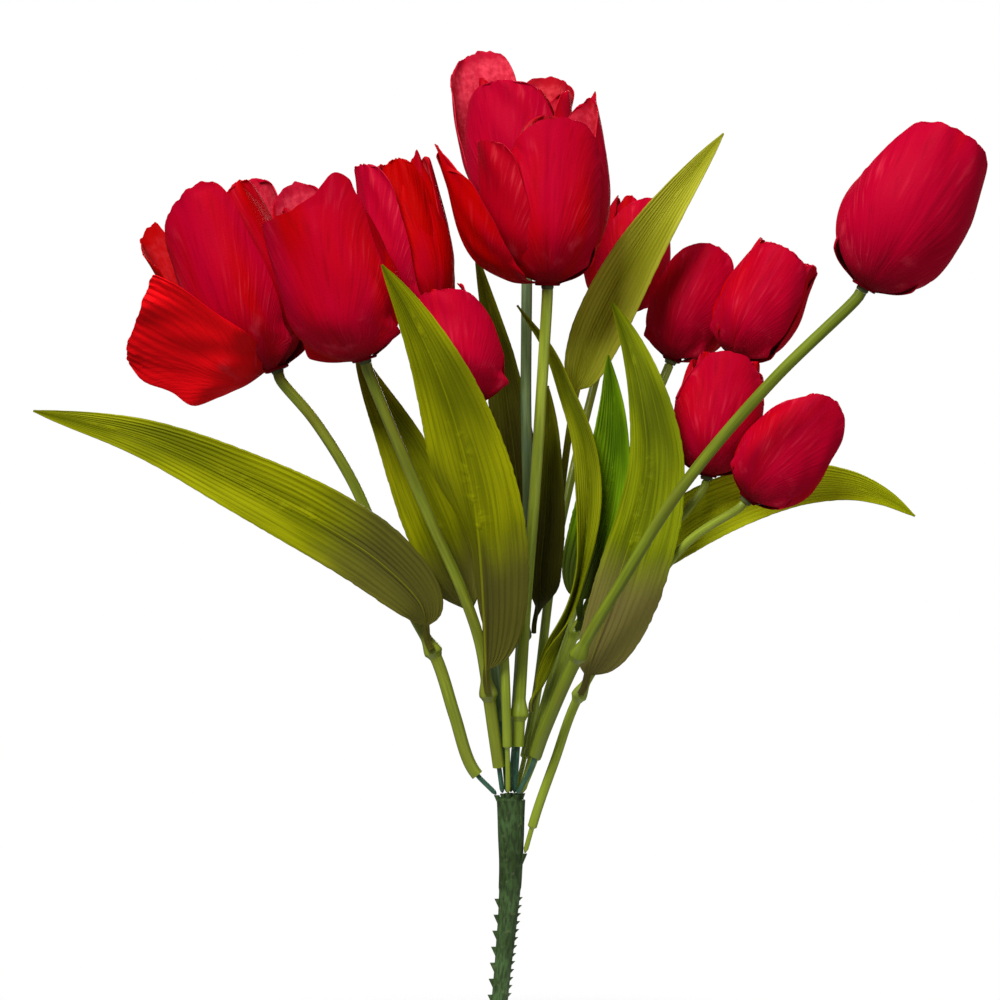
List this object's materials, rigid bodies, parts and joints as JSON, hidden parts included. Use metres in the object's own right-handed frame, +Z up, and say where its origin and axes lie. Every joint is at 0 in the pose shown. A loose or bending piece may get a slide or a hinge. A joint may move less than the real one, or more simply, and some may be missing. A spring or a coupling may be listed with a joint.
{
  "type": "silk tulip bush",
  "caption": "Artificial tulip bush: red silk blooms and buds on sleeved wire stems with strap leaves, all held in a barbed green plastic stub.",
  "frame": {"origin": "the middle of the stub's flat lower end", "axes": "+Z up along the bush, -Y the pictured front, +X its right"},
  "size_m": [0.3698, 0.1885, 0.4088],
  "materials": {
    "stub_plastic": "satin",
    "wire_coat": "satin",
    "sleeve_plastic": "satin",
    "bud_stem_plastic": "satin",
    "outer_silk": "satin",
    "inner_silk": "satin",
    "pip_plastic": "matte",
    "leaf_cloth": "satin"
  },
  "bodies": {
    "stub": {"stub": "stub_plastic"},
    "bloom_1_stalk": {"bloom_1_sleeve": "sleeve_plastic", "bloom_1_wire": "wire_coat"},
    "bloom_1_head": {"bloom_1_pip": "pip_plastic", "bloom_1_outer_petals": "outer_silk", "bloom_1_inner_petals": "inner_silk"},
    "bloom_2_stalk": {"bloom_2_sleeve": "sleeve_plastic", "bloom_2_wire": "wire_coat"},
    "bloom_2_head": {"bloom_2_pip": "pip_plastic", "bloom_2_outer_petals": "outer_silk", "bloom_2_inner_petals": "inner_silk"},
    "bloom_3_stalk": {"bloom_3_sleeve": "sleeve_plastic", "bloom_3_wire": "wire_coat"},
    "bloom_3_head": {"bloom_3_pip": "pip_plastic", "bloom_3_outer_petals": "outer_silk", "bloom_3_inner_petals": "inner_silk"},
    "bloom_4_stalk": {"bloom_4_sleeve": "sleeve_plastic", "bloom_4_wire": "wire_coat"},
    "bloom_4_head": {"bloom_4_pip": "pip_plastic", "bloom_4_outer_petals": "outer_silk", "bloom_4_inner_petals": "inner_silk"},
    "bloom_5_stalk": {"bloom_5_sleeve": "sleeve_plastic", "bloom_5_wire": "wire_coat"},
    "bloom_5_head": {"bloom_5_pip": "pip_plastic", "bloom_5_outer_petals": "outer_silk", "bloom_5_inner_petals": "inner_silk"},
    "bloom_6_stalk": {"bloom_6_sleeve": "sleeve_plastic", "bloom_6_wire": "wire_coat"},
    "bloom_6_head": {"bloom_6_pip": "pip_plastic", "bloom_6_outer_petals": "outer_silk", "bloom_6_inner_petals": "inner_silk"},
    "bud_1_stalk": {"bud_1_stem": "bud_stem_plastic"},
    "bud_1_head": {"bud_1_core": "pip_plastic", "bud_1_petals": "outer_silk"},
    "bud_2_stalk": {"bud_2_stem": "bud_stem_plastic"},
    "bud_2_head": {"bud_2_core": "pip_plastic", "bud_2_petals": "outer_silk"},
    "bud_3_stalk": {"bud_3_stem": "bud_stem_plastic"},
    "bud_3_head": {"bud_3_core": "pip_plastic", "bud_3_petals": "outer_silk"},
    "bud_4_stalk": {"bud_4_stem": "bud_stem_plastic"},
    "bud_4_head": {"bud_4_core": "pip_plastic", "bud_4_petals": "outer_silk"},
    "bud_5_stalk": {"bud_5_stem": "bud_stem_plastic"},
    "bud_5_head": {"bud_5_core": "pip_plastic", "bud_5_petals": "outer_silk"},
    "bud_6_stalk": {"bud_6_stem": "bud_stem_plastic"},
    "bud_6_head": {"bud_6_core": "pip_plastic", "bud_6_petals": "outer_silk"},
    "leaf_1_blade": {"leaf_1": "leaf_cloth"},
    "leaf_2_blade": {"leaf_2": "leaf_cloth"},
    "leaf_3_blade": {"leaf_3": "leaf_cloth"},
    "leaf_4_blade": {"leaf_4": "leaf_cloth"},
    "leaf_5_blade": {"leaf_5": "leaf_cloth"},
    "leaf_6_blade": {"leaf_6": "leaf_cloth"},
    "leaf_7_blade": {"leaf_7": "leaf_cloth"},
    "leaf_8_blade": {"leaf_8": "leaf_cloth"},
    "leaf_9_blade": {"leaf_9": "leaf_cloth"},
    "leaf_10_blade": {"leaf_10": "leaf_cloth"}
  },
  "joints": [
    {"name": "bend_bloom_1", "type": "hinge", "parent": "stub", "child": "bloom_1_stalk", "pos_m": [-0.0003, 0.0001, 0.10625], "axis": [0, -1, 0], "range_deg": [0, 15]},
    {"name": "bend_bloom_2", "type": "hinge", "parent": "stub", "child": "bloom_2_stalk", "pos_m": [0.0022, -0.00264, 0.10709], "axis": [0.7071, -0.7071, 0], "range_deg": [0, 15]},
    {"name": "bend_bloom_3", "type": "hinge", "parent": "stub", "child": "bloom_3_stalk", "pos_m": [0.00401, -0.00055, 0.10714], "axis": [-0.9239, -0.3827, 0], "range_deg": [0, 8]},
    {"name": "bend_bloom_4", "type": "hinge", "parent": "stub", "child": "bloom_4_stalk", "pos_m": [0.00694, -0.00115, 0.10713], "axis": [0.3827, 0.9239, 0], "range_deg": [0, 8]},
    {"name": "bend_bloom_5", "type": "hinge", "parent": "stub", "child": "bloom_5_stalk", "pos_m": [0.00553, 0.00208, 0.10707], "axis": [-0.9239, -0.3827, 0], "range_deg": [0, 15]},
    {"name": "bend_bloom_6", "type": "hinge", "parent": "stub", "child": "bloom_6_stalk", "pos_m": [0.00817, -0.00447, 0.10664], "axis": [0.3827, 0.9239, 0], "range_deg": [0, 15]},
    {"name": "bend_bud_1", "type": "hinge", "parent": "stub", "child": "bud_1_stalk", "pos_m": [0.00442, -0.00414, 0.10709], "axis": [0.3827, 0.9239, 0], "range_deg": [0, 10]},
    {"name": "bend_bud_2", "type": "hinge", "parent": "stub", "child": "bud_2_stalk", "pos_m": [0.00752, 0.00445, 0.10691], "axis": [-1, 0, 0], "range_deg": [0, 15]},
    {"name": "bend_bud_3", "type": "hinge", "parent": "stub", "child": "bud_3_stalk", "pos_m": [0.00945, 0.00281, 0.10697], "axis": [-0.7071, 0.7071, 0], "range_deg": [0, 15]},
    {"name": "bend_bud_4", "type": "hinge", "parent": "stub", "child": "bud_4_stalk", "pos_m": [0.01031, 0.00038, 0.10696], "axis": [-0.0872, 0.9962, 0], "range_deg": [0, 4]},
    {"name": "bend_bud_5", "type": "hinge", "parent": "stub", "child": "bud_5_stalk", "pos_m": [0.00983, -0.00227, 0.1069], "axis": [-0.5736, 0.8192, 0], "range_deg": [0, 15]},
    {"name": "bend_bud_6", "type": "hinge", "parent": "stub", "child": "bud_6_stalk", "pos_m": [0.01113, -0.00137, 0.08301], "axis": [0.3827, 0.9239, 0], "range_deg": [0, 15]},
    {"name": "turn_bloom_1", "type": "hinge", "parent": "bloom_1_stalk", "child": "bloom_1_head", "pos_m": [-0.0872, -0.004, 0.2744], "axis": [-0.3254, 0.033, 0.945], "range_deg": [-90, 40]},
    {"name": "turn_bloom_2", "type": "hinge", "parent": "bloom_2_stalk", "child": "bloom_2_head", "pos_m": [-0.051, -0.042, 0.277], "axis": [-0.275, -0.0671, 0.9591], "continuous": true},
    {"name": "turn_bloom_3", "type": "hinge", "parent": "bloom_3_stalk", "child": "bloom_3_head", "pos_m": [-0.028, 0, 0.294], "axis": [-0.1564, 0, 0.9877], "continuous": true},
    {"name": "turn_bloom_4", "type": "hinge", "parent": "bloom_4_stalk", "child": "bloom_4_head", "pos_m": [0.02, -0.014, 0.3075], "axis": [0.0174, -0.0349, 0.9992], "range_deg": [-50, 90]},
    {"name": "turn_bloom_5", "type": "hinge", "parent": "bloom_5_stalk", "child": "bloom_5_head", "pos_m": [0.012, 0.04, 0.336], "axis": [-0.0871, 0.0348, 0.9956], "continuous": true},
    {"name": "turn_bloom_6", "type": "hinge", "parent": "bloom_6_stalk", "child": "bloom_6_head", "pos_m": [0.139, -0.074, 0.3036], "axis": [0.4979, -0.0906, 0.8625], "continuous": true},
    {"name": "turn_bud_1", "type": "hinge", "parent": "bud_1_stalk", "child": "bud_1_head", "pos_m": [-0.0085, -0.033, 0.259], "axis": [-0.2588, 0, 0.9659], "continuous": true},
    {"name": "turn_bud_2", "type": "hinge", "parent": "bud_2_stalk", "child": "bud_2_head", "pos_m": [0.048, 0.068, 0.301], "axis": [0.2565, 0.1345, 0.9571], "continuous": true},
    {"name": "turn_bud_3", "type": "hinge", "parent": "bud_3_stalk", "child": "bud_3_head", "pos_m": [0.071, 0.045, 0.28], "axis": [0.3734, 0.0809, 0.9241], "continuous": true},
    {"name": "turn_bud_4", "type": "hinge", "parent": "bud_4_stalk", "child": "bud_4_head", "pos_m": [0.095, 0.021, 0.28], "axis": [0.4848, 0, 0.8746], "continuous": true},
    {"name": "turn_bud_5", "type": "hinge", "parent": "bud_5_stalk", "child": "bud_5_head", "pos_m": [0.0835, -0.003, 0.232], "axis": [0.1908, 0, 0.9816], "continuous": true},
    {"name": "turn_bud_6", "type": "hinge", "parent": "bud_6_stalk", "child": "bud_6_head", "pos_m": [0.097, -0.03, 0.223], "axis": [0.6561, 0, 0.7547], "continuous": true},
    {"name": "swing_leaf_1", "type": "hinge", "parent": "bloom_1_stalk", "child": "leaf_1_blade", "pos_m": [-0.02603, -0.0047, 0.1644], "axis": [0.8935, 0, 0.4492], "range_deg": [0, 20]},
    {"name": "swing_leaf_2", "type": "hinge", "parent": "bloom_3_stalk", "child": "leaf_2_blade", "pos_m": [-0.00612, -0.00101, 0.1631], "axis": [0.001, -1, -0.0017], "range_deg": [0, 20]},
    {"name": "swing_leaf_3", "type": "hinge", "parent": "bloom_2_stalk", "child": "leaf_3_blade", "pos_m": [-0.0035, -0.01351, 0.14739], "axis": [0.9842, -0.0054, 0.1772], "range_deg": [0, 20]},
    {"name": "swing_leaf_4", "type": "hinge", "parent": "bloom_5_stalk", "child": "leaf_4_blade", "pos_m": [0.01023, 0.01844, 0.16978], "axis": [-0.9984, -0.0004, 0.0571], "range_deg": [0, 20]},
    {"name": "swing_leaf_5", "type": "hinge", "parent": "bud_2_stalk", "child": "leaf_5_blade", "pos_m": [0.02299, 0.0279, 0.19742], "axis": [-0.0154, -0.996, -0.0878], "range_deg": [0, 12]},
    {"name": "swing_leaf_6", "type": "hinge", "parent": "bloom_4_stalk", "child": "leaf_6_blade", "pos_m": [0.01351, -0.00366, 0.13958], "axis": [0.0045, 0.996, 0.0891], "range_deg": [0, 6]},
    {"name": "swing_leaf_7", "type": "hinge", "parent": "bud_4_stalk", "child": "leaf_7_blade", "pos_m": [0.03221, 0.00446, 0.1721], "axis": [-0.0888, -0.9749, -0.2043], "range_deg": [0, 15]},
    {"name": "swing_leaf_8", "type": "hinge", "parent": "bud_6_stalk", "child": "leaf_8_blade", "pos_m": [0.033, -0.0143, 0.14701], "axis": [0.892, -0.0031, -0.452], "range_deg": [0, 10]},
    {"name": "swing_leaf_9", "type": "hinge", "parent": "bloom_5_stalk", "child": "leaf_9_blade", "pos_m": [0.01482, 0.01392, 0.17037], "axis": [0.0025, 0.9851, -0.1719], "range_deg": [0, 15]},
    {"name": "swing_leaf_10", "type": "hinge", "parent": "bud_5_stalk", "child": "leaf_10_blade", "pos_m": [0.04693, -0.00114, 0.18284], "axis": [-0.8233, 0.0004, 0.5676], "range_deg": [0, 15]}
  ]
}
